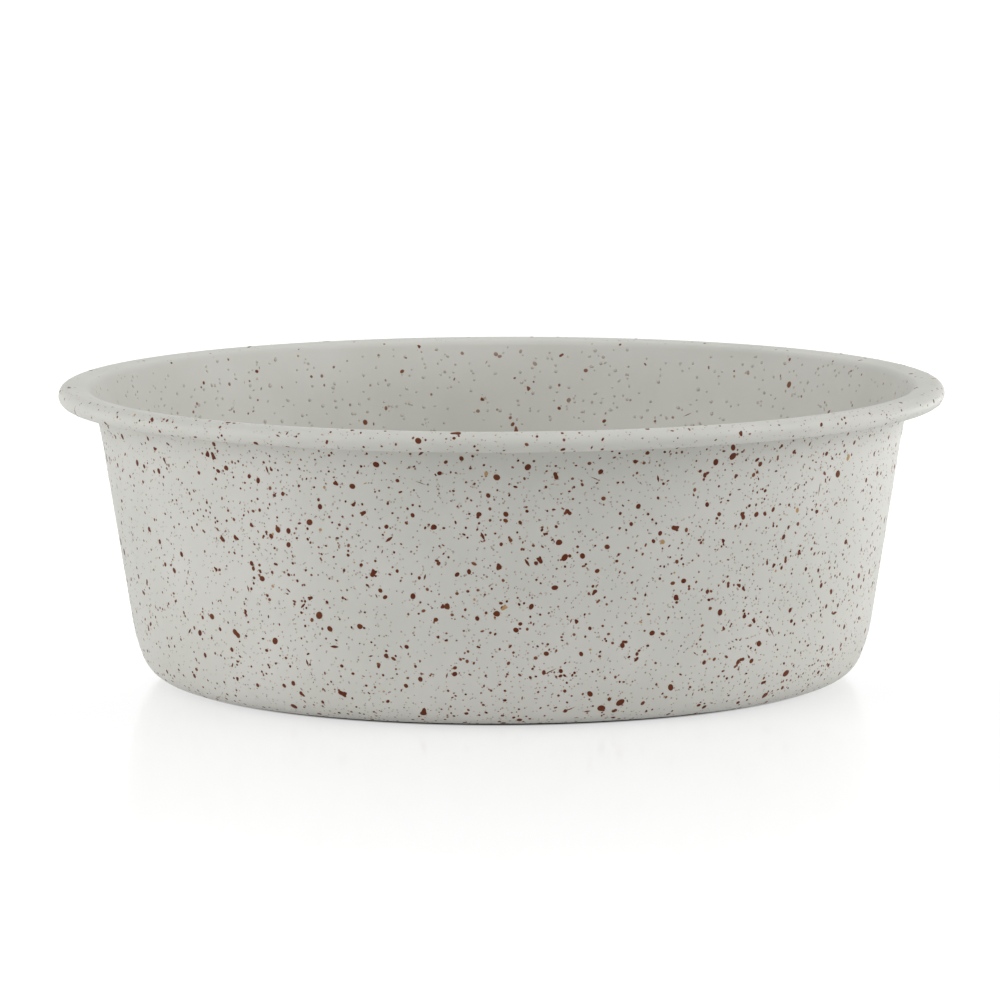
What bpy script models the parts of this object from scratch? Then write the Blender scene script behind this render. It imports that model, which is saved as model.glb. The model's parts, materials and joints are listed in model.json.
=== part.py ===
"""Pet bowl: a drawn steel bowl with a tapered wall and a curled lip, standing on a rubber ring.

Units are metres and degrees. The origin is on the floor, under the middle of the bowl, with +Z up.
Both pieces are turned about the Z axis.
"""

import math

import bpy

# Bowl, outside sizes
RIM_DIAMETER = 0.200  # over the curled bead
HEIGHT = 0.0669  # from the floor to the top of the rim
SHEET = 0.0008  # steel with its coat on both faces
WALL_TAPER = 8.9  # lean of the straight wall from upright
CORNER_RADIUS = 0.0075  # bend between base and wall, on the outside
HEEL_RADIUS = 0.0346  # softer bend above it, on the outside
HEEL_TURN = 15.1  # how far the softer bend turns

# Rim
FLARE_RADIUS = 0.0414  # gentle flare at the top of the wall, on the inside of the bowl
FLARE_TURN = 15.0  # how far the flare turns
LIP_BEND = 0.0022  # bend from the flare out to the lip, on the inside of the bowl
LIP_WIDTH = 0.0033  # straight part of the lip, between that bend and the curl
LIP_SLOPE = 6.0  # how steeply the lip rises outwards
BEAD_DIAMETER = 0.0044  # curled edge, over the outside
CURL_GAP = 0.0005  # slit left between the end of the curl and the lip

# Channel pressed up into the base, and the ring in it
CHANNEL_LAND = 0.0015  # flat left between the corner bend and the channel
CHANNEL_WIDTH = 0.0080  # between its sides, at half depth
CHANNEL_DEPTH = 0.0014
CHANNEL_SLOPE = 60.0  # steepness of its sides
CHANNEL_BEND = 0.0008  # radius of its four bends, in the middle of the sheet
RING_PROUD = 0.0006  # how far the ring holds the base off the floor
RING_CLEARANCE = 0.0003  # bond line between ring and channel
RING_EDGE = 0.0003  # rounding of the ring's edges

# Faceting
TURN_STEPS = 60
BEND_SAG = 0.00005  # furthest that a bend's facets lie from its true arc


class SheetLine:
    """Middle line of the sheet in the XZ plane, drawn outwards as straight runs and bends."""

    def __init__(self, x, z):
        self.points = [(x, z)]
        self.heading = 0.0

    def run(self, length):
        x, z = self.points[-1]
        x += length * math.cos(self.heading)
        z += length * math.sin(self.heading)
        self.points.append((x, z))

    def bend(self, radius, turn):
        """Turns by an angle in radians, to the left where it is positive."""
        largest_step = 2 * math.acos(1 - BEND_SAG / radius)
        steps = math.ceil(abs(turn) / largest_step)
        chord = 2 * radius * math.sin(abs(turn) / steps / 2)
        for _ in range(steps):
            self.heading += turn / steps / 2
            self.run(chord)
            self.heading += turn / steps / 2


def rise(radius, start, end):
    """Height gained along a bend between two headings."""
    return radius * abs(math.cos(start) - math.cos(end))


def reach(radius, start, end):
    """Distance gained outwards along a bend between two headings."""
    return radius * abs(math.sin(end) - math.sin(start))


# Headings of the sheet, in radians from level
wall_heading = math.radians(90 - WALL_TAPER)
heel_heading = wall_heading - math.radians(HEEL_TURN)
flare_heading = wall_heading - math.radians(FLARE_TURN)
lip_heading = math.radians(LIP_SLOPE)
channel_heading = math.radians(CHANNEL_SLOPE)

# Radii in the middle of the sheet
corner_bend = CORNER_RADIUS - SHEET / 2
heel_bend = HEEL_RADIUS - SHEET / 2
flare_bend = FLARE_RADIUS - SHEET / 2
lip_bend = LIP_BEND - SHEET / 2
bead_bend = BEAD_DIAMETER / 2 - SHEET / 2

# The rim goes from the top of the straight wall to the top of the bead
rim_rise = (
    rise(flare_bend, wall_heading, flare_heading)
    + rise(lip_bend, flare_heading, lip_heading)
    + LIP_WIDTH * math.sin(lip_heading)
    + rise(bead_bend, lip_heading, 0)
)
rim_reach = (
    reach(flare_bend, wall_heading, flare_heading)
    + reach(lip_bend, flare_heading, lip_heading)
    + LIP_WIDTH * math.cos(lip_heading)
    + reach(bead_bend, lip_heading, 0)
)

# The straight wall makes up the height, and the base makes up the diameter
heel_rise = rise(corner_bend, 0, heel_heading) + rise(heel_bend, heel_heading, wall_heading)
heel_reach = reach(corner_bend, 0, heel_heading) + reach(heel_bend, heel_heading, wall_heading)
wall_run = (HEIGHT - RING_PROUD - SHEET - heel_rise - rim_rise) / math.sin(wall_heading)
wall_reach = wall_run * math.cos(wall_heading)
base_radius = RIM_DIAMETER / 2 - BEAD_DIAMETER / 2 - rim_reach - wall_reach - heel_reach

# Each side of the channel is a bend, a short run and the same bend back
side_run = (CHANNEL_DEPTH - 2 * rise(CHANNEL_BEND, 0, channel_heading)) / math.sin(channel_heading)
side_reach = 2 * reach(CHANNEL_BEND, 0, channel_heading) + side_run * math.cos(channel_heading)
roof_run = CHANNEL_WIDTH - side_reach
channel_radius = base_radius - CHANNEL_LAND - side_reach / 2 - CHANNEL_WIDTH / 2
panel_radius = channel_radius - CHANNEL_WIDTH / 2 - side_reach / 2


def curl_turn():
    """Turn of the curled edge that leaves CURL_GAP between its end and the underside of the lip."""
    lip_underside = bead_bend - SHEET / 2  # over the middle of the curl
    return 2 * math.pi - math.acos((lip_underside - CURL_GAP) / (BEAD_DIAMETER / 2))


def shell_line():
    """Middle line of the bowl's sheet, from the axis to the end of the curl, above the base's underside."""
    line = SheetLine(0, SHEET / 2)
    line.run(panel_radius)
    for upwards in (1, -1):
        line.bend(CHANNEL_BEND, upwards * channel_heading)
        line.run(side_run)
        line.bend(CHANNEL_BEND, -upwards * channel_heading)
        line.run(roof_run if upwards > 0 else CHANNEL_LAND)
    line.bend(corner_bend, heel_heading)
    line.bend(heel_bend, wall_heading - heel_heading)
    line.run(wall_run)
    line.bend(flare_bend, flare_heading - wall_heading)
    line.bend(lip_bend, lip_heading - flare_heading)
    line.run(LIP_WIDTH)
    top_to_widest = math.pi / 2
    for turn in (lip_heading, top_to_widest, curl_turn() - lip_heading - top_to_widest):
        line.bend(bead_bend, -turn)
    return line.points


def ring_half_width(height):
    """Half the ring's width at a height over the base's underside: its sides follow the channel's."""
    off_middle = (SHEET / 2 + RING_CLEARANCE) / math.sin(channel_heading)
    over_half_depth = height - SHEET / 2 - CHANNEL_DEPTH / 2
    return CHANNEL_WIDTH / 2 - off_middle - over_half_depth / math.tan(channel_heading)


def ring_section():
    """Corners of the ring's section from the outer top round by the floor, with its underside at zero."""
    top = RING_PROUD + CHANNEL_DEPTH - RING_CLEARANCE
    half_top = ring_half_width(top - RING_PROUD)
    half_foot = ring_half_width(-RING_PROUD)
    return [
        (channel_radius + half_top, top),
        (channel_radius + half_foot, 0),
        (channel_radius - half_foot, 0),
        (channel_radius - half_top, top),
    ]


def make_material(name, color, roughness):
    material = bpy.data.materials.new(name)
    material.use_nodes = True
    shader = material.node_tree.nodes["Principled BSDF"]
    shader.inputs["Base Color"].default_value = (*color, 1)
    shader.inputs["Roughness"].default_value = roughness
    shader.inputs["Metallic"].default_value = 0
    return material


def make_turned(name, points, closed, material):
    """An object turned about Z from a line of (x, z) points, which is a closed section or an open line."""
    edges = [(i, i + 1) for i in range(len(points) - 1)]
    if closed:
        edges.append((len(points) - 1, 0))
    mesh = bpy.data.meshes.new(name)
    mesh.from_pydata([(x, 0, z) for x, z in points], edges, [])
    mesh.materials.append(material)
    turned = bpy.data.objects.new(name, mesh)
    turning = turned.modifiers.new("Turning", "SCREW")
    turning.steps = TURN_STEPS
    turning.render_steps = TURN_STEPS
    turning.use_merge_vertices = True
    turning.merge_threshold = 0.00001
    turning.use_smooth_shade = True
    return turned


def make_bowl_shell():
    """The drawn bowl: one sheet, from the middle of the base to the end of the curl."""
    coat = make_material("speckled_coat", (0.60, 0.59, 0.54), 0.55)
    shell = make_turned("bowl_shell", shell_line(), False, coat)
    thickness = shell.modifiers.new("Sheet", "SOLIDIFY")
    thickness.thickness = SHEET
    thickness.offset = 0
    thickness.use_even_offset = True
    shell.location.z = RING_PROUD
    return shell


def make_non_slip_ring():
    """The rubber ring in the base's channel, with its edges rounded."""
    rubber = make_material("dark_rubber", (0.030, 0.030, 0.032), 0.8)
    ring = make_turned("non_slip_ring", ring_section(), True, rubber)
    rounding = ring.modifiers.new("Edges", "BEVEL")
    rounding.width = RING_EDGE
    rounding.segments = 2
    rounding.limit_method = "ANGLE"
    rounding.angle_limit = math.radians(30)
    return ring


def main():
    for old in list(bpy.data.objects):
        bpy.data.objects.remove(old)
    collection = bpy.data.collections.new("pet_bowl")
    bpy.context.scene.collection.children.link(collection)
    floor_centre = bpy.data.objects.new("floor_centre", None)
    collection.objects.link(floor_centre)
    for piece in (make_bowl_shell(), make_non_slip_ring()):
        piece.parent = floor_centre
        collection.objects.link(piece)


main()
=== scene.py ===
"""Looks of the pet bowl: a drawn steel bowl under a pale matt coat, spattered with rust-brown paint.

The bowl and its rubber ring are turned from their sections. The spatter is real drops of paint, laid on
the coat as thin raised lenses, from drops of two millimetres down to mist.
Lengths are in metres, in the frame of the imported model: the floor is at zero and +Z is up.
"""

import json
import math

import bmesh
import bpy
from mathutils import Matrix, Vector

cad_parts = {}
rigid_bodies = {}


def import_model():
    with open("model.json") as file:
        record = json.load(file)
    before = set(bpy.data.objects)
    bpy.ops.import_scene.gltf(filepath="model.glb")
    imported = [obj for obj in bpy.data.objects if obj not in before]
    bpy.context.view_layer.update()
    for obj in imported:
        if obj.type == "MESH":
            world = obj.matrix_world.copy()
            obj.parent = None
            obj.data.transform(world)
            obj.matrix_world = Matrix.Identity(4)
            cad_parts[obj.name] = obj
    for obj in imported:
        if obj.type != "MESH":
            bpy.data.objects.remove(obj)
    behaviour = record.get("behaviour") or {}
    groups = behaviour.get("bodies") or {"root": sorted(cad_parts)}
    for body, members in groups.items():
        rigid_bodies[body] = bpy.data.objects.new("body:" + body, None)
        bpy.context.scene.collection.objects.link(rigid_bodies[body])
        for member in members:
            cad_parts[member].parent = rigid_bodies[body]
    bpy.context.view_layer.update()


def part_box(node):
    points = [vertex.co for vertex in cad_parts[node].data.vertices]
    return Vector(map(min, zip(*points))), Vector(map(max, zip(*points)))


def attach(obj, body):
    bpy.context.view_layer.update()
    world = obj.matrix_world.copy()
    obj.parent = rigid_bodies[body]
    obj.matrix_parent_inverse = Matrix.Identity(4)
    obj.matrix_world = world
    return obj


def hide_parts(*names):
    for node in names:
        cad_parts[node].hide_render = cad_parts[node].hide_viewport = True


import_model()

MM = 0.001
CM2 = 0.0001

# The bowl's sheet, as it is drawn and rolled
SHEET = 0.8 * MM
WALL_TAPER = math.radians(8.9)
CORNER_RADIUS = 7.5 * MM  # base to wall, on the outside
HEEL_RADIUS = 34.6 * MM  # softer bend above the corner, on the outside
HEEL_TURN = math.radians(15.1)
FLARE_RADIUS = 41.4 * MM  # gentle flare at the top of the wall, on the inside of the bowl
FLARE_TURN = math.radians(15)
LIP_BEND = 2.2 * MM  # flare to lip, on the inside of the bowl
LIP_WIDTH = 3.3 * MM
LIP_SLOPE = math.radians(6)
BEAD_DIAMETER = 4.4 * MM
CURL_GAP = 0.5 * MM

# The channel in the base that holds the ring
CHANNEL_LAND = 1.5 * MM
CHANNEL_WIDTH = 8.0 * MM
CHANNEL_DEPTH = 1.4 * MM
CHANNEL_SLOPE = math.radians(60)
CHANNEL_BEND = 0.8 * MM
RING_CLEARANCE = 0.3 * MM
RING_EDGE = 0.1 * MM  # rounding of the ring's edges and of its grooves
GRIP_GROOVES = 3
GRIP_GROOVE_WIDTH = 0.7 * MM
GRIP_GROOVE_DEPTH = 0.25 * MM

# How finely the pieces are turned
TURN_STEPS = 240
BEND_STEP = math.radians(6)
WELD = 0.001 * MM  # points of a turned piece that are closer than this become one

# Share of the full spatter on each stretch of the sheet: of the inside drops on its upper face,
# of the outside drops on its upper face, and of the outside drops on its underside
FLOOR_SPATTER = (0.8, 0.0, 0.2)
CHANNEL_SPATTER = (0.8, 0.0, 0.0)
WALL_SPATTER = (1.0, 0.0, 1.0)
LIP_SPATTER = (0.25, 0.05, 0.2)
BEAD_SPATTER = (0.0, 0.85, 0.0)
CURL_SPATTER = (0.0, 0.0, 0.0)
PATCH_SIZE = 24 * MM
PATCH_NOISE = (0.35, 0.65)  # of the noise, from where a patch is thinnest to where it is thickest
PATCH_SPATTER = (0.7, 1.3)  # share of the mean spatter in the thinnest and the thickest patch

# Share of the spatter on the left and right, where the photograph shows less of it, as if the gun had
# stood in front of the bowl and behind it
FLANK_SPATTER = 0.5

# What is left to chance in each drop, with a seed of its own counted from the seed of the piece
CHANCES = ("radius", "tone", "shelf", "shape", "spin", "tan")
SPATTER_SEED = 7
SEEDS_PER_PIECE = 10
PLAIN_SHAPES_FIRST = 3.0  # power that makes the first shapes the common ones

# A drop's tone goes from 0 for thick paint to the palest for a trace of it, and is 1 where the drop is tan
PALEST_TONE = 0.95
THICK_PAINT = "#5C2714"
THINNING_PAINT = {0.3: "#67351C", 0.5: "#7F5038", 0.65: "#8A6858", 0.8: "#9E887C", PALEST_TONE: "#C6C0B7"}
TAN_PAINT = "#B58E5F"
TAN_SHARE = 0.012  # of all drops

# The map that the baked copy of the paint is drawn on, whose sides are one
MAP_MARGIN = 0.02
DROP_ON_MAP = 0.003  # a drop's radius there

# The photograph's camera, with its picture taken as 1000 pixels square
PICTURE_SIDE = 1000
FOCAL_LENGTH = 6845  # pixels
BOWL_MIDDLE_AT = (501.8, 528.0)  # pixel where the middle of the bowl falls
CAMERA_DISTANCE = 1552 * MM
CAMERA_ELEVATION = math.radians(7.52)
CAMERA_ROLL = math.radians(-0.18)
SENSOR_WIDTH = 36.0
CAMERA_SEES_TO = 100

# The studio
FLOOR_RADIUS = 8.0
FLOOR_SIDES = 96
FLOOR_GLOW = 0.97  # of white, to the eye
FLOOR_POLISH = 0.31  # share of reflection close to the bowl
POLISH_ROUGHNESS = 0.11
POLISH_FROM = 70 * MM  # from the middle of the bowl, where the floor's gloss starts to fade
POLISH_TO = 400 * MM
# The floor's glow fades out under the base: painted shade, standing in for the dark gap under the bowl
PAINTED_SHADE_WITHIN = 2.0 * MM  # from the edge of the flat base inwards, to where the floor under it is dark
STRIP_LENGTH = 400 * MM
STRIP_HEIGHT = 50 * MM
STRIP_MIDDLE = 30 * MM
STRIP_DISTANCE = 450 * MM
ROOM_LIGHT = 0.1
ROOM_WHITE = 1.0  # to the eye and in reflections

# Wide distant lamps: strength, width, and the side and height that each shines from, in degrees
SOFTBOXES = {
    "right_softbox": (1.6, 40, 80, 25),
    "left_softbox": (1.1, 40, -55, 25),
    "overhead_softbox": (0.82, 40, -28, 70),
    "back_softbox": (0.42, 50, 180, 50),
}

# Low lamps: watts, and the side that each shines from, in degrees
LOW_STRIPS = {
    "left_strip": (0.28, -85),
    "right_strip": (0.34, 120),
    "back_strip": (0.2, 180),
}

bowl_low, bowl_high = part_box("bowl_shell")
ring_low, ring_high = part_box("non_slip_ring")


# Nodes and colours


def srgb(text):
    """A colour written as sRGB hex, as the linear colour that a socket takes."""
    channels = [int(text[i:i + 2], 16) / 255 for i in (1, 3, 5)]
    linear = [c / 12.92 if c <= 0.04045 else ((c + 0.055) / 1.055) ** 2.4 for c in channels]
    return (*linear, 1.0)


def add(tree, kind, inputs=None, **settings):
    """Adds a node, sets it, and fills its inputs with values or with links from other nodes' outputs."""
    node = tree.nodes.new(kind)
    for name, value in settings.items():
        setattr(node, name, value)
    for name, value in (inputs or {}).items():
        if isinstance(value, bpy.types.NodeSocket):
            tree.links.new(value, node.inputs[name])
        else:
            node.inputs[name].default_value = value
    return node


def per_mm(size):
    """Texture scale that gives a pattern this size in millimetres, on coordinates in metres."""
    return 1 / (size * MM)


def new_material(name):
    """A material with an empty tree but for a Principled shader on its output."""
    material = bpy.data.materials.new(name)
    material.use_nodes = True
    tree = material.node_tree
    tree.nodes.clear()
    shader = add(tree, "ShaderNodeBsdfPrincipled")
    add(tree, "ShaderNodeOutputMaterial", {"Surface": shader.outputs["BSDF"]})
    return material, tree, shader


# Materials


def matt_powder_coat():
    """Powder coat, blown on the steel dry and baked."""
    # It gives the eye a pale warm grey with no sharp highlight, faintly cloudy where the layer is
    # thicker, and with orange peel close up
    material, tree, shader = new_material("matt_powder_coat")
    place = add(tree, "ShaderNodeTexCoord").outputs["Object"]
    clouds = add(tree, "ShaderNodeTexNoise", {"Vector": place, "Scale": per_mm(22), "Detail": 4.0})
    tint = add(tree, "ShaderNodeValToRGB", {"Fac": clouds.outputs["Fac"]})
    tint.color_ramp.elements[0].position = 0.3
    tint.color_ramp.elements[0].color = srgb("#CACAC3")
    tint.color_ramp.elements[1].position = 0.7
    tint.color_ramp.elements[1].color = srgb("#D1D0CA")
    tree.links.new(tint.outputs["Color"], shader.inputs["Base Color"])

    peel = add(tree, "ShaderNodeTexNoise", {"Vector": place, "Scale": per_mm(1.1), "Detail": 2.0})
    uneven = add(
        tree,
        "ShaderNodeMapRange",
        {"Value": peel.outputs["Fac"], "To Min": 0.50, "To Max": 0.60},
    )
    tree.links.new(uneven.outputs["Result"], shader.inputs["Roughness"])
    bump = add(
        tree,
        "ShaderNodeBump",
        {"Height": peel.outputs["Fac"], "Strength": 0.25, "Distance": 0.02 * MM},
    )
    tree.links.new(bump.outputs["Normal"], shader.inputs["Normal"])
    shader.inputs["IOR"].default_value = 1.5
    return material


def spatter_paint():
    """Spatter paint, flung on the coat as drops from a coarse gun."""
    # It gives the eye umber to rust where a drop is thick, a pale brown stain where it is thin or fine,
    # now and then a tan one, and a dull film over all of them
    material, tree, shader = new_material("spatter_paint")
    tone = add(tree, "ShaderNodeAttribute", attribute_name="tone").outputs["Fac"]
    colour = add(tree, "ShaderNodeValToRGB", {"Fac": tone})
    ramp = colour.color_ramp
    ramp.elements[0].color = srgb(THICK_PAINT)
    ramp.elements[1].color = srgb(TAN_PAINT)
    for position, text in THINNING_PAINT.items():
        ramp.elements.new(position).color = srgb(text)
    tree.links.new(colour.outputs["Color"], shader.inputs["Base Color"])

    place = add(tree, "ShaderNodeTexCoord").outputs["Object"]
    film = add(tree, "ShaderNodeTexNoise", {"Vector": place, "Scale": per_mm(0.4), "Detail": 1.0})
    uneven = add(
        tree,
        "ShaderNodeMapRange",
        {"Value": film.outputs["Fac"], "To Min": 0.50, "To Max": 0.65},
    )
    tree.links.new(uneven.outputs["Result"], shader.inputs["Roughness"])
    shader.inputs["Specular IOR Level"].default_value = 0.15
    return material


def moulded_rubber():
    """Natural rubber filled with carbon black, pressed in a mould that was blasted with sand."""
    # It gives the eye a dull near-black, paler in rubbed patches, with a fine even grit. The mould's grit
    # of 0.1 mm is drawn at 0.35 mm, because it would not show
    material, tree, shader = new_material("moulded_rubber")
    place = add(tree, "ShaderNodeTexCoord").outputs["Object"]
    rubbed = add(tree, "ShaderNodeTexNoise", {"Vector": place, "Scale": per_mm(9), "Detail": 3.0})
    tint = add(tree, "ShaderNodeValToRGB", {"Fac": rubbed.outputs["Fac"]})
    tint.color_ramp.elements[0].position = 0.35
    tint.color_ramp.elements[0].color = srgb("#262628")
    tint.color_ramp.elements[1].position = 0.7
    tint.color_ramp.elements[1].color = srgb("#313133")
    tree.links.new(tint.outputs["Color"], shader.inputs["Base Color"])
    grit = add(tree, "ShaderNodeTexNoise", {"Vector": place, "Scale": per_mm(0.35), "Detail": 2.0})
    bump = add(
        tree,
        "ShaderNodeBump",
        {"Height": grit.outputs["Fac"], "Strength": 0.5, "Distance": 0.03 * MM},
    )
    tree.links.new(bump.outputs["Normal"], shader.inputs["Normal"])
    shader.inputs["Roughness"].default_value = 0.78
    shader.inputs["Specular IOR Level"].default_value = 0.4
    return material


# Sections of the turned pieces


class SheetLine:
    """Middle line of the sheet in the XZ plane, drawn outwards as straight runs and bends.

    Each point keeps the sheet's heading there, and the spatter on the stretch that ends in it.
    """

    def __init__(self, x, z, spatter):
        self.points = [(x, z, 0.0, spatter)]

    def run(self, length, spatter):
        x, z, heading = self.points[-1][:3]
        x += length * math.cos(heading)
        z += length * math.sin(heading)
        self.points.append((x, z, heading, spatter))

    def bend(self, radius, turn, spatter):
        """Turns by an angle, to the left where it is positive."""
        steps = math.ceil(abs(turn) / BEND_STEP)
        side = math.copysign(1, turn)
        x, z, start = self.points[-1][:3]
        centre_x = x - side * radius * math.sin(start)
        centre_z = z + side * radius * math.cos(start)
        for step in range(1, steps + 1):
            heading = start + turn * step / steps
            x = centre_x + side * radius * math.sin(heading)
            z = centre_z - side * radius * math.cos(heading)
            self.points.append((x, z, heading, spatter))

    def faces(self):
        """Points of the sheet's upper face outwards, round its rolled end, and of its underside inwards."""
        half = SHEET / 2
        upper_face = []
        underside = []
        for x, z, heading, (inside, outside, under) in self.points:
            upper_face.append((x - half * math.sin(heading), z + half * math.cos(heading), inside, outside))
            underside.append((x + half * math.sin(heading), z - half * math.cos(heading), 0.0, under))
        x, z, heading = self.points[-1][:3]
        end = []
        for quarter in (1, 2, 3):
            angle = heading + math.pi / 2 - math.pi / 4 * quarter
            end.append((x + half * math.cos(angle), z + half * math.sin(angle), 0.0, 0.0))
        return upper_face + end + underside[::-1]


def rise(radius, start, end):
    """Height gained along a bend between two headings."""
    return radius * abs(math.cos(start) - math.cos(end))


def reach(radius, start, end):
    """Distance gained outwards along a bend between two headings."""
    return radius * abs(math.sin(end) - math.sin(start))


wall_heading = math.pi / 2 - WALL_TAPER
heel_heading = wall_heading - HEEL_TURN
flare_heading = wall_heading - FLARE_TURN
corner_bend = CORNER_RADIUS - SHEET / 2
heel_bend = HEEL_RADIUS - SHEET / 2
flare_bend = FLARE_RADIUS - SHEET / 2
lip_bend = LIP_BEND - SHEET / 2
bead_bend = BEAD_DIAMETER / 2 - SHEET / 2

# The rim goes from the top of the straight wall to the top of the bead
rim_rise = (
    rise(flare_bend, wall_heading, flare_heading)
    + rise(lip_bend, flare_heading, LIP_SLOPE)
    + LIP_WIDTH * math.sin(LIP_SLOPE)
    + rise(bead_bend, LIP_SLOPE, 0)
)
rim_reach = (
    reach(flare_bend, wall_heading, flare_heading)
    + reach(lip_bend, flare_heading, LIP_SLOPE)
    + LIP_WIDTH * math.cos(LIP_SLOPE)
    + reach(bead_bend, LIP_SLOPE, 0)
)

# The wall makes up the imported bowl's height, and the base its diameter
heel_rise = rise(corner_bend, 0, heel_heading) + rise(heel_bend, heel_heading, wall_heading)
heel_reach = reach(corner_bend, 0, heel_heading) + reach(heel_bend, heel_heading, wall_heading)
wall_run = (bowl_high.z - bowl_low.z - SHEET - heel_rise - rim_rise) / math.sin(wall_heading)
wall_reach = wall_run * math.cos(wall_heading)
base_radius = bowl_high.x - BEAD_DIAMETER / 2 - rim_reach - wall_reach - heel_reach
side_run = (CHANNEL_DEPTH - 2 * rise(CHANNEL_BEND, 0, CHANNEL_SLOPE)) / math.sin(CHANNEL_SLOPE)
side_reach = 2 * reach(CHANNEL_BEND, 0, CHANNEL_SLOPE) + side_run * math.cos(CHANNEL_SLOPE)
channel_radius = base_radius - CHANNEL_LAND - side_reach / 2 - CHANNEL_WIDTH / 2


def curl_turn():
    """Turn of the curled edge that leaves its slit open under the lip."""
    lip_underside = bead_bend - SHEET / 2  # over the middle of the curl
    return 2 * math.pi - math.acos((lip_underside - CURL_GAP) / (BEAD_DIAMETER / 2))


def bowl_section():
    """The bowl's sheet from the middle of its floor to the curl and back to the middle of its underside."""
    panel_radius = channel_radius - CHANNEL_WIDTH / 2 - side_reach / 2
    channel_floor = CHANNEL_WIDTH - side_reach
    line = SheetLine(0, bowl_low.z + SHEET / 2, FLOOR_SPATTER)
    line.run(panel_radius, FLOOR_SPATTER)
    for upwards, flat, spatter in ((1, channel_floor, CHANNEL_SPATTER), (-1, CHANNEL_LAND, FLOOR_SPATTER)):
        line.bend(CHANNEL_BEND, upwards * CHANNEL_SLOPE, CHANNEL_SPATTER)
        line.run(side_run, CHANNEL_SPATTER)
        line.bend(CHANNEL_BEND, -upwards * CHANNEL_SLOPE, CHANNEL_SPATTER)
        line.run(flat, spatter)
    line.bend(corner_bend, heel_heading, WALL_SPATTER)
    line.bend(heel_bend, HEEL_TURN, WALL_SPATTER)
    line.run(wall_run, WALL_SPATTER)
    line.bend(flare_bend, -FLARE_TURN, WALL_SPATTER)
    line.bend(lip_bend, LIP_SLOPE - flare_heading, LIP_SPATTER)
    line.run(LIP_WIDTH, LIP_SPATTER)
    lip_to_lowest = LIP_SLOPE + math.pi
    line.bend(bead_bend, -LIP_SLOPE, BEAD_SPATTER)
    line.bend(bead_bend, LIP_SLOPE - lip_to_lowest, BEAD_SPATTER)
    line.bend(bead_bend, lip_to_lowest - curl_turn(), CURL_SPATTER)
    return line.faces()


def ring_half_width(height):
    """Half the ring's width at a height over the base's underside: its sides follow the channel's."""
    off_middle = (SHEET / 2 + RING_CLEARANCE) / math.sin(CHANNEL_SLOPE)
    over_half_depth = height - SHEET / 2 - CHANNEL_DEPTH / 2
    return CHANNEL_WIDTH / 2 - off_middle - over_half_depth / math.tan(CHANNEL_SLOPE)


def rounded(corners, radius):
    """A closed line of (x, z) corners with each of them cut to a short arc, ending where it starts."""
    points = []
    for i, corner in enumerate(corners):
        here = Vector(corner)
        before = (Vector(corners[i - 1]) - here).normalized()
        after = (Vector(corners[(i + 1) % len(corners)]) - here).normalized()
        opening = before.angle(after)
        along = radius / math.tan(opening / 2)
        start = here + before * along
        end = here + after * along
        crown = here + (before + after).normalized() * (radius / math.sin(opening / 2) - radius)
        points += [start, crown, end]
    points.append(points[0])
    return [(p.x, p.y, 0.0, 0.0) for p in points]


def ring_section():
    """The ring from its outer top edge round by the floor, with grip grooves in its foot."""
    proud = bowl_low.z
    half_top = ring_half_width(ring_high.z - proud)
    half_foot = ring_half_width(-proud)
    corners = [(channel_radius + half_top, ring_high.z), (channel_radius + half_foot, ring_low.z)]
    spacing = 2 * half_foot / (GRIP_GROOVES + 1)
    for groove in range(GRIP_GROOVES):
        middle = channel_radius + half_foot - spacing * (groove + 1)
        corners.append((middle + GRIP_GROOVE_WIDTH / 2, ring_low.z))
        corners.append((middle, ring_low.z + GRIP_GROOVE_DEPTH))
        corners.append((middle - GRIP_GROOVE_WIDTH / 2, ring_low.z))
    corners.append((channel_radius - half_foot, ring_low.z))
    corners.append((channel_radius - half_top, ring_high.z))
    return rounded(corners, RING_EDGE)


# Geometry Nodes


def new_tree(name, inputs):
    """A Geometry Nodes tree with these named inputs after its geometry, and its group input node."""
    tree = bpy.data.node_groups.new(name, "GeometryNodeTree")
    tree.interface.new_socket("Geometry", in_out="INPUT", socket_type="NodeSocketGeometry")
    for label, kind in inputs.items():
        tree.interface.new_socket(label, in_out="INPUT", socket_type=kind)
    tree.interface.new_socket("Geometry", in_out="OUTPUT", socket_type="NodeSocketGeometry")
    return tree, add(tree, "NodeGroupInput").outputs


def end_tree(tree, geometry, material):
    """Hands the tree's geometry out as plain smooth mesh of this material."""
    smooth = add(tree, "GeometryNodeSetShadeSmooth", {"Geometry": geometry}).outputs["Geometry"]
    plain = add(tree, "GeometryNodeRealizeInstances", {"Geometry": smooth}).outputs["Geometry"]
    coated = add(tree, "GeometryNodeSetMaterial", {"Geometry": plain, "Material": material})
    add(tree, "NodeGroupOutput", {"Geometry": coated.outputs["Geometry"]})


def apply_tree(tree, source, values, name):
    """A plain mesh object made by the tree from the source mesh, with the tree's inputs set by label."""
    holder = bpy.data.objects.new(name + "_source", source)
    bpy.context.scene.collection.objects.link(holder)
    modifier = holder.modifiers.new("Make", "NODES")
    modifier.node_group = tree
    for item in tree.interface.items_tree:
        if item.in_out == "INPUT" and item.name in values:
            modifier[item.identifier] = values[item.name]
    graph = bpy.context.evaluated_depsgraph_get()
    mesh = bpy.data.meshes.new_from_object(
        holder.evaluated_get(graph), preserve_all_data_layers=True, depsgraph=graph
    )
    bpy.data.objects.remove(holder)
    mesh.name = name
    piece = bpy.data.objects.new(name, mesh)
    bpy.context.scene.collection.objects.link(piece)
    return piece


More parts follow.
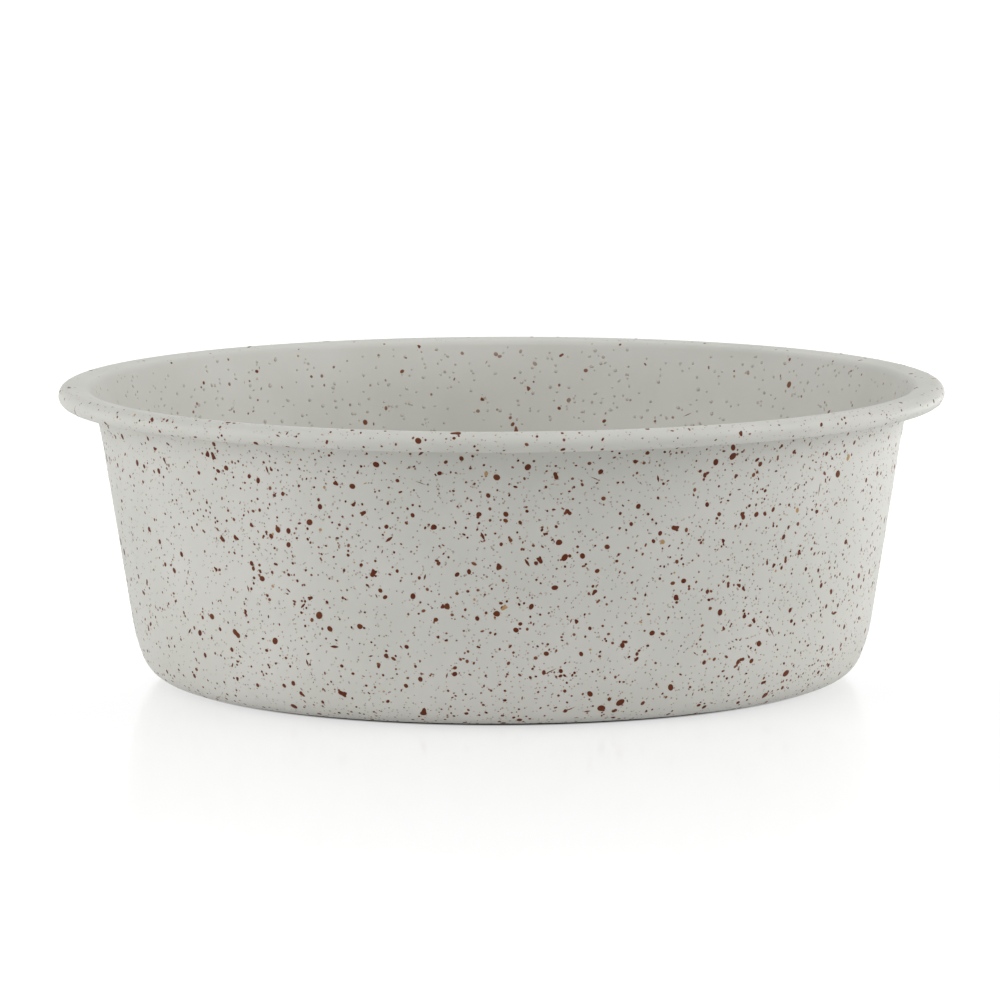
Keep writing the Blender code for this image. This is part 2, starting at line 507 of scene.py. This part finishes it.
def turning_tree():
    """Turns a section about Z: a grid whose rows take the section's points and whose columns go round."""
    tree, given = new_tree(
        "Turn a section", {"Turn steps": "NodeSocketInt", "Material": "NodeSocketMaterial"}
    )
    section = given["Geometry"]
    rows = add(tree, "GeometryNodeAttributeDomainSize", {"Geometry": section}).outputs["Point Count"]
    columns = add(tree, "ShaderNodeMath", {0: given["Turn steps"], 1: 1.0}, operation="ADD").outputs[0]
    grid = add(tree, "GeometryNodeMeshGrid", {"Vertices X": columns, "Vertices Y": rows}).outputs["Mesh"]

    index = add(tree, "GeometryNodeInputIndex").outputs["Index"]
    row = add(tree, "ShaderNodeMath", {0: index, 1: rows}, operation="MODULO").outputs[0]
    column = add(tree, "ShaderNodeMath", {0: index, 1: rows}, operation="DIVIDE").outputs[0]
    column = add(tree, "ShaderNodeMath", {0: column}, operation="FLOOR").outputs[0]
    turned = add(tree, "ShaderNodeMath", {0: column, 1: given["Turn steps"]}, operation="DIVIDE").outputs[0]
    angle = add(tree, "ShaderNodeMath", {0: turned, 1: 2 * math.pi}, operation="MULTIPLY").outputs[0]

    sampled = {}
    place = add(tree, "GeometryNodeInputPosition").outputs["Position"]
    wanted = {"place": ("FLOAT_VECTOR", place)}
    for name in ("inside", "outside", "along"):
        attribute = add(tree, "GeometryNodeInputNamedAttribute", {"Name": name}, data_type="FLOAT")
        wanted[name] = ("FLOAT", attribute.outputs["Attribute"])
    for name, (kind, field) in wanted.items():
        sample = add(
            tree,
            "GeometryNodeSampleIndex",
            {"Geometry": section, "Value": field, "Index": row},
            data_type=kind,
            domain="POINT",
        )
        sampled[name] = sample.outputs["Value"]
    place = add(
        tree,
        "ShaderNodeVectorRotate",
        {"Vector": sampled["place"], "Angle": angle},
        rotation_type="Z_AXIS",
    ).outputs["Vector"]

    solid = grid
    for name in ("inside", "outside"):
        solid = add(
            tree,
            "GeometryNodeStoreNamedAttribute",
            {"Geometry": solid, "Name": name, "Value": sampled[name]},
            data_type="FLOAT",
            domain="POINT",
        ).outputs["Geometry"]
    unrolled = add(tree, "ShaderNodeCombineXYZ", {"X": turned, "Y": sampled["along"]}).outputs["Vector"]
    solid = add(
        tree,
        "GeometryNodeStoreNamedAttribute",
        {"Geometry": solid, "Name": "OFBake", "Value": unrolled},
        data_type="FLOAT2",
        domain="CORNER",
    ).outputs["Geometry"]
    solid = add(tree, "GeometryNodeSetPosition", {"Geometry": solid, "Position": place}).outputs["Geometry"]
    welded = add(tree, "GeometryNodeMergeByDistance", {"Geometry": solid, "Distance": WELD})
    solid = add(tree, "GeometryNodeFlipFaces", {"Mesh": welded.outputs["Geometry"]}).outputs["Mesh"]
    end_tree(tree, solid, given["Material"])
    return tree


def section_mesh(name, section):
    """A line of (x, z, inside spatter, outside spatter) as a mesh, with the share of its length passed."""
    mesh = bpy.data.meshes.new(name)
    edges = [(i, i + 1) for i in range(len(section) - 1)]
    mesh.from_pydata([(x, 0, z) for x, z, _, _ in section], edges, [])
    lengths = [0.0]
    for before, after in zip(section, section[1:]):
        lengths.append(lengths[-1] + math.hypot(after[0] - before[0], after[1] - before[1]))
    values = {
        "along": [length / lengths[-1] for length in lengths],
        "inside": [inside for _, _, inside, _ in section],
        "outside": [outside for _, _, _, outside in section],
    }
    for label, numbers in values.items():
        mesh.attributes.new(label, "FLOAT", "POINT").data.foreach_set("value", numbers)
    return mesh


def spatter_tree():
    """Scatters drops over a coated surface and lays each one down to follow it."""
    tree, given = new_tree(
        "Spatter",
        {
            "Side": "NodeSocketString",
            "Drop shapes": "NodeSocketCollection",
            "Shape count": "NodeSocketInt",
            "Drops per square metre": "NodeSocketFloat",
            "Least radius": "NodeSocketFloat",
            "Mean extra radius": "NodeSocketFloat",
            "Largest radius": "NodeSocketFloat",
            "Darkest tone": "NodeSocketFloat",
            "Palest tone": "NodeSocketFloat",
            "Edge fading": "NodeSocketFloat",
            "Tan share": "NodeSocketFloat",
            "Patch size": "NodeSocketFloat",
            "Flank share": "NodeSocketFloat",
            "Seed": "NodeSocketInt",
            "Material": "NodeSocketMaterial",
        },
    )
    surface = given["Geometry"]

    # Where the drops fall: by the coat's share of spatter, thicker in patches and towards the gun
    share = add(tree, "GeometryNodeInputNamedAttribute", {"Name": given["Side"]}, data_type="FLOAT")
    scale = add(tree, "ShaderNodeMath", {0: 1.0, 1: given["Patch size"]}, operation="DIVIDE").outputs[0]
    patches = add(tree, "ShaderNodeTexNoise", {"Scale": scale, "Detail": 2.0})
    patchy = add(
        tree,
        "ShaderNodeMapRange",
        {
            "Value": patches.outputs["Fac"],
            "From Min": PATCH_NOISE[0],
            "From Max": PATCH_NOISE[1],
            "To Min": PATCH_SPATTER[0],
            "To Max": PATCH_SPATTER[1],
        },
    )
    place = add(tree, "GeometryNodeInputPosition").outputs["Position"]
    level = add(tree, "ShaderNodeVectorMath", {0: place, 1: (1, 1, 0)}, operation="MULTIPLY").outputs[0]
    outwards = add(tree, "ShaderNodeVectorMath", {0: level}, operation="NORMALIZE").outputs[0]
    to_gun = add(tree, "ShaderNodeSeparateXYZ", {"Vector": outwards}).outputs["Y"]
    to_gun = add(tree, "ShaderNodeMath", {0: to_gun}, operation="ABSOLUTE").outputs[0]
    sprayed = add(tree, "ShaderNodeMapRange", {"Value": to_gun, "To Min": given["Flank share"]})
    density = given["Drops per square metre"]
    for factor in (share.outputs["Attribute"], patchy.outputs["Result"], sprayed.outputs["Result"]):
        density = add(tree, "ShaderNodeMath", {0: density, 1: factor}, operation="MULTIPLY").outputs[0]
    fallen = add(
        tree,
        "GeometryNodeDistributePointsOnFaces",
        {"Mesh": surface, "Density": density, "Seed": given["Seed"]},
    )
    points = fallen.outputs["Points"]

    def chance(name):
        """A number from nought to one for each drop."""
        offset = CHANCES.index(name) + 1
        seed = add(tree, "ShaderNodeMath", {0: given["Seed"], 1: offset}, operation="ADD").outputs[0]
        return add(tree, "FunctionNodeRandomValue", {"Seed": seed}, data_type="FLOAT").outputs[1]

    # How large and how dark: small drops are many, and the larger they are, the fewer
    left = add(tree, "ShaderNodeMath", {0: 1.0, 1: chance("radius")}, operation="SUBTRACT").outputs[0]
    fall = add(tree, "ShaderNodeMath", {0: left, 1: math.e}, operation="LOGARITHM").outputs[0]
    extra = add(
        tree, "ShaderNodeMath", {0: fall, 1: given["Mean extra radius"]}, operation="MULTIPLY"
    ).outputs[0]
    radius = add(
        tree, "ShaderNodeMath", {0: given["Least radius"], 1: extra}, operation="SUBTRACT"
    ).outputs[0]
    radius = add(
        tree, "ShaderNodeMath", {0: radius, 1: given["Largest radius"]}, operation="MINIMUM"
    ).outputs[0]
    tone = add(
        tree,
        "ShaderNodeMapRange",
        {"Value": chance("tone"), "To Min": given["Darkest tone"], "To Max": given["Palest tone"]},
    ).outputs["Result"]
    tan = add(
        tree, "ShaderNodeMath", {0: chance("tan"), 1: given["Tan share"]}, operation="LESS_THAN"
    ).outputs[0]
    tone = add(tree, "ShaderNodeMath", {0: tone, 1: tan}, operation="MAXIMUM").outputs[0]
    for name, value in (("drop_radius", radius), ("tone", tone), ("shelf", chance("shelf"))):
        points = add(
            tree,
            "GeometryNodeStoreNamedAttribute",
            {"Geometry": points, "Name": name, "Value": value},
            data_type="FLOAT",
            domain="POINT",
        ).outputs["Geometry"]

    # Which shape, turned any way: the plainer shapes come first and are picked more often
    picked = add(
        tree, "ShaderNodeMath", {0: chance("shape"), 1: PLAIN_SHAPES_FIRST}, operation="POWER"
    ).outputs[0]
    picked = add(
        tree, "ShaderNodeMath", {0: picked, 1: given["Shape count"]}, operation="MULTIPLY"
    ).outputs[0]
    picked = add(tree, "ShaderNodeMath", {0: picked}, operation="FLOOR").outputs[0]
    spin = add(tree, "ShaderNodeMath", {0: chance("spin"), 1: 2 * math.pi}, operation="MULTIPLY").outputs[0]
    spin = add(tree, "FunctionNodeAxisAngleToRotation", {"Axis": (0, 0, 1), "Angle": spin}).outputs[0]
    facing = add(
        tree,
        "FunctionNodeRotateRotation",
        {"Rotation": fallen.outputs["Rotation"], "Rotate By": spin},
        rotation_space="LOCAL",
    ).outputs[0]
    size = add(tree, "GeometryNodeInputNamedAttribute", {"Name": "drop_radius"}, data_type="FLOAT")
    shapes = add(
        tree,
        "GeometryNodeCollectionInfo",
        {"Collection": given["Drop shapes"], "Separate Children": True, "Reset Children": True},
    ).outputs["Instances"]
    drops = add(
        tree,
        "GeometryNodeInstanceOnPoints",
        {
            "Points": points,
            "Instance": shapes,
            "Pick Instance": True,
            "Instance Index": picked,
            "Rotation": facing,
            "Scale": size.outputs["Attribute"],
        },
    ).outputs["Instances"]
    drops = add(tree, "GeometryNodeRealizeInstances", {"Geometry": drops}).outputs["Geometry"]

    # Each point of a drop goes down to the coat, and then up by its own share of the drop's radius
    sampled = {}
    fields = {
        "Position": add(tree, "GeometryNodeInputPosition").outputs["Position"],
        "Normal": add(tree, "GeometryNodeInputNormal").outputs["Normal"],
    }
    for name, field in fields.items():
        sampled[name] = add(
            tree,
            "GeometryNodeSampleNearestSurface",
            {"Mesh": surface, "Value": field, "Sample Position": fields["Position"]},
            data_type="FLOAT_VECTOR",
        ).outputs["Value"]
    lift = add(tree, "GeometryNodeInputNamedAttribute", {"Name": "lift"}, data_type="FLOAT")
    height = add(
        tree,
        "ShaderNodeMath",
        {0: lift.outputs["Attribute"], 1: size.outputs["Attribute"]},
        operation="MULTIPLY",
    ).outputs[0]
    raised = add(
        tree,
        "ShaderNodeVectorMath",
        {0: sampled["Normal"], "Scale": height},
        operation="SCALE",
    ).outputs["Vector"]
    place = add(
        tree, "ShaderNodeVectorMath", {0: sampled["Position"], 1: raised}, operation="ADD"
    ).outputs["Vector"]
    drops = add(tree, "GeometryNodeSetPosition", {"Geometry": drops, "Position": place}).outputs["Geometry"]

    # The paint thins out at a drop's edge, and fades there towards its palest tone
    tone = add(tree, "GeometryNodeInputNamedAttribute", {"Name": "tone"}, data_type="FLOAT")
    tone = tone.outputs["Attribute"]
    faded = add(
        tree,
        "ShaderNodeMapRange",
        {
            "Value": lift.outputs["Attribute"],
            "From Min": EDGE_SUNK,
            "From Max": RAISED,
            "To Min": given["Edge fading"],
            "To Max": 0.0,
        },
    ).outputs["Result"]
    left = add(tree, "ShaderNodeMath", {0: PALEST_TONE, 1: tone}, operation="SUBTRACT").outputs[0]
    paler = add(tree, "ShaderNodeMath", {0: left, 1: faded}, operation="MULTIPLY").outputs[0]
    tone = add(tree, "ShaderNodeMath", {0: tone, 1: paler}, operation="ADD").outputs[0]
    drops = add(
        tree,
        "GeometryNodeStoreNamedAttribute",
        {"Geometry": drops, "Name": "tone", "Value": tone},
        data_type="FLOAT",
        domain="POINT",
    ).outputs["Geometry"]

    # A map for the baked copy: drops of one tone lie together, so they share one strip of colour
    own = add(tree, "GeometryNodeInputNamedAttribute", {"Name": "flat"}, data_type="FLOAT_VECTOR")
    own = add(
        tree,
        "ShaderNodeVectorMath",
        {0: own.outputs["Attribute"], "Scale": DROP_ON_MAP},
        operation="SCALE",
    ).outputs["Vector"]
    at = {}
    for name in ("tone", "shelf"):
        field = add(tree, "GeometryNodeInputNamedAttribute", {"Name": name}, data_type="FLOAT")
        at[name] = add(
            tree,
            "ShaderNodeMapRange",
            {"Value": field.outputs["Attribute"], "To Min": MAP_MARGIN, "To Max": 1 - MAP_MARGIN},
        ).outputs["Result"]
    strip = add(tree, "ShaderNodeCombineXYZ", {"X": at["tone"], "Y": at["shelf"]}).outputs["Vector"]
    strip = add(tree, "ShaderNodeVectorMath", {0: strip, 1: own}, operation="ADD").outputs["Vector"]
    drops = add(
        tree,
        "GeometryNodeStoreNamedAttribute",
        {"Geometry": drops, "Name": "OFBake", "Value": strip},
        data_type="FLOAT2",
        domain="CORNER",
    ).outputs["Geometry"]
    end_tree(tree, drops, given["Material"])
    return tree


# Shapes of drops: outlines about a centre, as a radius at each angle


def round_drop(angle):
    return 1 + 0.08 * math.cos(2 * angle + 1)


def oval_drop(angle):
    return 1 / math.hypot(math.cos(angle) / 1.2, math.sin(angle) / 0.85)


def long_drop(angle):
    return 1 / math.hypot(math.cos(angle) / 1.4, math.sin(angle) / 0.7)


def egg_drop(angle):
    return 0.95 + 0.18 * math.cos(angle) + 0.08 * math.cos(2 * angle) + 0.04 * math.cos(3 * angle + 2)


def lobed_drop(angle):
    return 0.92 + 0.14 * math.cos(2 * angle + 0.6) + 0.12 * math.cos(3 * angle) + 0.05 * math.cos(5 * angle)


def joined_pair(angle):
    return 1.05 + 0.42 * math.cos(2 * angle) + 0.12 * math.cos(angle) + 0.05 * math.cos(3 * angle)


def tailed_drop(angle):
    return 0.82 + 1.2 * max(0.0, math.cos(angle)) ** 9 + 0.08 * math.cos(2 * angle + 2)


def fingered_splat(angle):
    fingers = max(0.0, math.cos(angle - 0.5)) ** 14 + max(0.0, math.cos(angle + 0.35)) ** 18
    return 0.85 + 0.9 * fingers + 0.15 * math.cos(2 * angle)


def spindle(angle):
    pointedness = 1.4
    along = abs(math.cos(angle) / 1.7) ** pointedness
    across = abs(math.sin(angle) / 0.5) ** pointedness
    return (along + across) ** (-1 / pointedness)


def hairline(angle):
    return 1 / math.hypot(math.cos(angle) / 2.6, math.sin(angle) / 0.18)


def thrown(degrees, distance, radius):
    """A fine dot thrown off to one side of a drop, as a lens."""
    angle = math.radians(degrees)
    return round_drop, distance * math.cos(angle), distance * math.sin(angle), radius


# Shapes of a drop whose radius is one, each of lenses as (outline, x, y, size), from common to rare
SPLASHES = {
    "round": ((round_drop, 0, 0, 1),),
    "oval": ((oval_drop, 0, 0, 1),),
    "egg": ((egg_drop, 0, 0, 1), thrown(160, 1.5, 0.2)),
    "lobed": ((lobed_drop, 0, 0, 1), thrown(20, 1.7, 0.22), thrown(110, 2.1, 0.26)),
    "pair": ((joined_pair, 0, 0, 1),),
    "tailed": ((tailed_drop, 0, 0, 1), thrown(200, 1.5, 0.18)),
    "splat": (
        (fingered_splat, 0, 0, 1),
        thrown(75, 1.5, 0.16),
        thrown(200, 1.8, 0.2),
        thrown(290, 1.6, 0.14),
    ),
    "spindle": ((spindle, 0, 0, 1),),
    "burst": (
        (spindle, 0, 0, 0.32),
        (spindle, 0.9, 0.5, 0.24),
        (spindle, -0.8, 0.7, 0.28),
        (spindle, 0.5, -0.8, 0.26),
        (spindle, -0.9, -0.5, 0.2),
        (spindle, 1.6, -0.3, 0.2),
    ),
    "hairline": ((hairline, 0, 0, 1),),
}
DOTS = {
    "round": ((round_drop, 0, 0, 1),),
    "oval": ((oval_drop, 0, 0, 1),),
    "egg": ((egg_drop, 0, 0, 1),),
    "long": ((long_drop, 0, 0, 1),),
    "specked": ((oval_drop, 0, 0, 1), thrown(70, 1.6, 0.3)),
    "pair": ((joined_pair, 0, 0, 0.9),),
    "spindle": ((spindle, 0, 0, 1),),
}
SPECKS = {
    "round": ((round_drop, 0, 0, 1),),
    "oval": ((oval_drop, 0, 0, 1),),
    "long": ((long_drop, 0, 0, 1),),
}

# Heights in a drop whose radius is one
RAISED = 0.06
EDGE_SUNK = -0.02
SUNK = -0.06

# Sides of the fine lenses in a shape of several
FINE_LENS = 0.5
FINE_SIDES = 6


def add_lens(mesh, lens, sides, rings):
    """A closed lens of paint: its outline sunk a little in the coat, rings of rising lift, and a top."""
    outline, x, y, size = lens
    lift = mesh.verts.layers.float["lift"]
    flat = mesh.verts.layers.float_vector["flat"]
    if size < FINE_LENS:
        sides = FINE_SIDES
        rings = ()

    def point(share, angle, raised):
        out = size * share * outline(angle)
        vertex = mesh.verts.new((x + out * math.cos(angle), y + out * math.sin(angle), 0))
        vertex[lift] = raised * size
        vertex[flat] = vertex.co
        return vertex

    angles = [2 * math.pi * side / sides for side in range(sides)]
    bottom = point(0, 0, SUNK)
    below = [point(1, angle, EDGE_SUNK) for angle in angles]
    for side in range(sides):
        mesh.faces.new((bottom, below[side], below[side - 1]))
    for share, raised in rings:
        above = [point(share, angle, raised) for angle in angles]
        for side in range(sides):
            mesh.faces.new((below[side - 1], below[side], above[side], above[side - 1]))
        below = above
    top = point(0, 0, RAISED)
    for side in range(sides):
        mesh.faces.new((top, below[side - 1], below[side]))


def shape_collection(name, shapes, sides, rings):
    """A collection of drop shapes, numbered because the tree picks the first ones more often."""
    collection = bpy.data.collections.new(name)
    bpy.context.scene.collection.children.link(collection)
    for order, (label, lenses) in enumerate(shapes.items()):
        drop = bmesh.new()
        drop.verts.layers.float.new("lift")
        drop.verts.layers.float_vector.new("flat")
        for lens in lenses:
            add_lens(drop, lens, sides, rings)
        mesh = bpy.data.meshes.new(f"{name}_{order}_{label}")
        drop.to_mesh(mesh)
        drop.free()
        collection.objects.link(bpy.data.objects.new(mesh.name, mesh))
    return collection


# Pieces

# Each size of drop: its shapes with their sides and rings, its least, mean extra and largest radius in mm,
# and for each side of the bowl how many fall on a square centimetre, their darkest and palest tone, and
# what those radii are multiplied by. The photograph shows fewer drops inside the bowl, and out of focus,
# so those are paler
SPATTER = {
    "large_drops": {
        "shapes": (SPLASHES, 22, ((0.78, 0.035), (0.5, 0.055))),
        "radius": (0.52, 0.12, 0.95),
        "outside": (1.75, 0.0, 0.3, 1.0),
        "inside": (0.4, 0.3, 0.55, 0.85),
    },
    "small_drops": {
        "shapes": (DOTS, 10, ((0.68, 0.045),)),
        "radius": (0.28, 0.08, 0.56),
        "outside": (9.0, 0.05, 0.5, 1.0),
        "inside": (2.4, 0.55, 0.9, 1.1),
    },
    "flecks": {
        "shapes": (SPECKS, 7, ()),
        "radius": (0.18, 0.08, 0.34),
        "outside": (11.0, 0.45, 0.86, 1.05),
        "inside": (4.0, 0.88, 0.95, 1.7),
    },
    "mist": {
        "shapes": (SPECKS, 6, ()),
        "radius": (0.19, 0.06, 0.32),
        "outside": (34.0, 0.8, 0.94, 1.05),
        "inside": (7.0, 0.945, 0.95, 2.0),
    },
}

# How far the edge of a drop fades on the way from its own tone to the palest
EDGE_FADING = {"outside": 0.4, "inside": 0.8}


def make_turned(tree, name, section, material):
    """A piece turned about Z from its section."""
    values = {"Turn steps": TURN_STEPS, "Material": material}
    return apply_tree(tree, section_mesh(name, section), values, name)


def make_spatter(coat_mesh):
    """The spatter's pieces on each side of the bowl, from large drops to mist."""
    tree = spatter_tree()
    paint = spatter_paint()
    pieces = []
    for size_name, size in SPATTER.items():
        shapes = shape_collection(size_name + "_shapes", *size["shapes"])
        least, extra, largest = size["radius"]
        for side in ("outside", "inside"):
            per_cm2, darkest, palest, enlarged = size[side]
            values = {
                "Side": side,
                "Drop shapes": shapes,
                "Shape count": len(shapes.objects),
                "Drops per square metre": per_cm2 / CM2,
                "Least radius": least * enlarged * MM,
                "Mean extra radius": extra * enlarged * MM,
                "Largest radius": largest * enlarged * MM,
                "Darkest tone": darkest,
                "Palest tone": palest,
                "Edge fading": EDGE_FADING[side],
                "Tan share": TAN_SHARE,
                "Patch size": PATCH_SIZE,
                "Flank share": FLANK_SPATTER,
                "Seed": SPATTER_SEED + SEEDS_PER_PIECE * len(pieces),
                "Material": paint,
            }
            pieces.append(apply_tree(tree, coat_mesh, values, f"{side}_{size_name}"))
        for shape in list(shapes.objects):
            bpy.data.objects.remove(shape)
        bpy.data.collections.remove(shapes)
    return pieces


turning = turning_tree()
bowl = make_turned(turning, "coated_bowl", bowl_section(), matt_powder_coat())
ring = make_turned(turning, "rubber_ring", ring_section(), moulded_rubber())
spatter = make_spatter(bowl.data)

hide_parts("bowl_shell")
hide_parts("non_slip_ring")
for piece in (bowl, ring, *spatter):
    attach(piece, "root")


# Studio


def seen_ray(tree):
    """One for the rays that show a surface, straight or in gloss or glass, and nought for its light."""
    path = add(tree, "ShaderNodeLightPath").outputs
    seen = path["Is Camera Ray"]
    for kind in ("Is Glossy Ray", "Is Transmission Ray"):
        seen = add(tree, "ShaderNodeMath", {0: seen, 1: path[kind]}, operation="MAXIMUM").outputs[0]
    return seen


def make_floor():
    """A plain white floor that keeps the bowl's shadow, with painted shade under its base where its glow
    fades out.

    It has a faint reflection that fades out away from the bowl.
    """
    bpy.ops.mesh.primitive_circle_add(vertices=FLOOR_SIDES, radius=FLOOR_RADIUS, fill_type="NGON")
    floor = bpy.context.object
    floor.name = "studio_floor"
    material = bpy.data.materials.new("white_studio_floor")
    material.use_nodes = True
    tree = material.node_tree
    tree.nodes.clear()
    # A matt white that lights the bowl from below. To the eye it glows, and a grey in it takes the shadow;
    # under the base the glow fades out, which is painted shade
    matt = add(tree, "ShaderNodeBsdfDiffuse", {"Color": srgb("#F7F7F7")}).outputs["BSDF"]
    shaded = add(tree, "ShaderNodeBsdfDiffuse", {"Color": srgb("#787878")}).outputs["BSDF"]
    place = add(tree, "ShaderNodeTexCoord").outputs["Object"]
    away = add(tree, "ShaderNodeVectorMath", {0: place}, operation="LENGTH").outputs["Value"]
    # Painted shade: the glow fades to nothing under the base, whatever the bowl casts
    glow_with_painted_shade = add(
        tree,
        "ShaderNodeMapRange",
        {
            "Value": away,
            "From Min": base_radius - PAINTED_SHADE_WITHIN,
            "From Max": base_radius,
            "To Max": FLOOR_GLOW,
        },
    ).outputs["Result"]
    white = add(tree, "ShaderNodeEmission", {"Strength": glow_with_painted_shade}).outputs["Emission"]
    lit = add(tree, "ShaderNodeAddShader", {0: shaded, 1: white}).outputs["Shader"]

    gloss = add(
        tree,
        "ShaderNodeMapRange",
        {
            "Value": away,
            "From Min": POLISH_FROM,
            "From Max": POLISH_TO,
            "To Min": FLOOR_POLISH,
            "To Max": 0.0,
        },
    ).outputs["Result"]
    polish = add(tree, "ShaderNodeBsdfGlossy", {"Roughness": POLISH_ROUGHNESS}).outputs["BSDF"]
    polished = add(tree, "ShaderNodeMixShader", {"Fac": gloss, 1: lit, 2: polish}).outputs["Shader"]
    shown = add(tree, "ShaderNodeMixShader", {"Fac": seen_ray(tree), 1: matt, 2: polished}).outputs["Shader"]
    add(tree, "ShaderNodeOutputMaterial", {"Surface": shown})
    floor.data.materials.append(material)


def make_world():
    """White to the eye and in reflections, and a plain soft grey as light."""
    world = bpy.data.worlds.new("white_studio")
    bpy.context.scene.world = world
    world.use_nodes = True
    tree = world.node_tree
    tree.nodes.clear()
    soft = add(tree, "ShaderNodeBackground", {"Strength": ROOM_LIGHT}).outputs["Background"]
    white = add(tree, "ShaderNodeBackground", {"Strength": ROOM_WHITE}).outputs["Background"]
    shown = add(tree, "ShaderNodeMixShader", {"Fac": seen_ray(tree), 1: soft, 2: white}).outputs["Shader"]
    add(tree, "ShaderNodeOutputWorld", {"Surface": shown})


def towards(azimuth, elevation):
    """Direction from the bowl to a side and a height in degrees, with 0 in front and 90 on the right."""
    turn = math.radians(azimuth)
    lean = math.radians(elevation)
    return Vector((math.sin(turn) * math.cos(lean), -math.cos(turn) * math.cos(lean), math.sin(lean)))


def hang_lamp(lamp, direction):
    """Places a lamp so that it shines at the bowl from this direction."""
    holder = bpy.data.objects.new(lamp.name, lamp)
    holder.rotation_euler = direction.to_track_quat("Z", "Y").to_euler()
    bpy.context.scene.collection.objects.link(holder)
    return holder


def make_softbox(name, strength, width, azimuth, elevation):
    """A wide and distant lamp."""
    lamp = bpy.data.lights.new(name, "SUN")
    lamp.energy = strength
    lamp.angle = math.radians(width)
    hang_lamp(lamp, towards(azimuth, elevation))


def make_low_strip(name, watts, azimuth):
    """A long lamp on the floor, lower than the rim, so that it lights the wall and not the inside."""
    lamp = bpy.data.lights.new(name, "AREA")
    lamp.shape = "RECTANGLE"
    lamp.size = STRIP_LENGTH
    lamp.size_y = STRIP_HEIGHT
    lamp.energy = watts
    outwards = towards(azimuth, 0)
    holder = hang_lamp(lamp, outwards)
    holder.location = outwards * STRIP_DISTANCE + Vector((0, 0, STRIP_MIDDLE))
    holder.visible_camera = False


def make_camera():
    """The photograph's camera: long lens, a little above the rim, aimed so that the bowl falls in place."""
    lens = bpy.data.cameras.new("camera")
    lens.sensor_width = SENSOR_WIDTH
    lens.lens = FOCAL_LENGTH / PICTURE_SIDE * SENSOR_WIDTH
    lens.clip_end = CAMERA_SEES_TO
    camera = bpy.data.objects.new("camera", lens)
    middle = Vector((0, 0, bowl_high.z / 2))
    back = Vector((0, -math.cos(CAMERA_ELEVATION), math.sin(CAMERA_ELEVATION)))
    right = Vector((1, 0, 0))
    up = back.cross(right)
    per_pixel = CAMERA_DISTANCE / FOCAL_LENGTH
    off_right = (BOWL_MIDDLE_AT[0] - PICTURE_SIDE / 2) * per_pixel
    off_down = (BOWL_MIDDLE_AT[1] - PICTURE_SIDE / 2) * per_pixel
    aim = middle - right * off_right + up * off_down
    place = middle + back * CAMERA_DISTANCE
    level = (place - aim).to_track_quat("Z", "Y").to_matrix()
    rolled = level @ Matrix.Rotation(CAMERA_ROLL, 3, "Z")
    camera.matrix_world = Matrix.Translation(place) @ rolled.to_4x4()
    bpy.context.scene.collection.objects.link(camera)
    bpy.context.scene.camera = camera


make_floor()
make_world()
for name, values in SOFTBOXES.items():
    make_softbox(name, *values)
for name, values in LOW_STRIPS.items():
    make_low_strip(name, *values)
make_camera()
bpy.context.scene.view_settings.view_transform = "Standard"
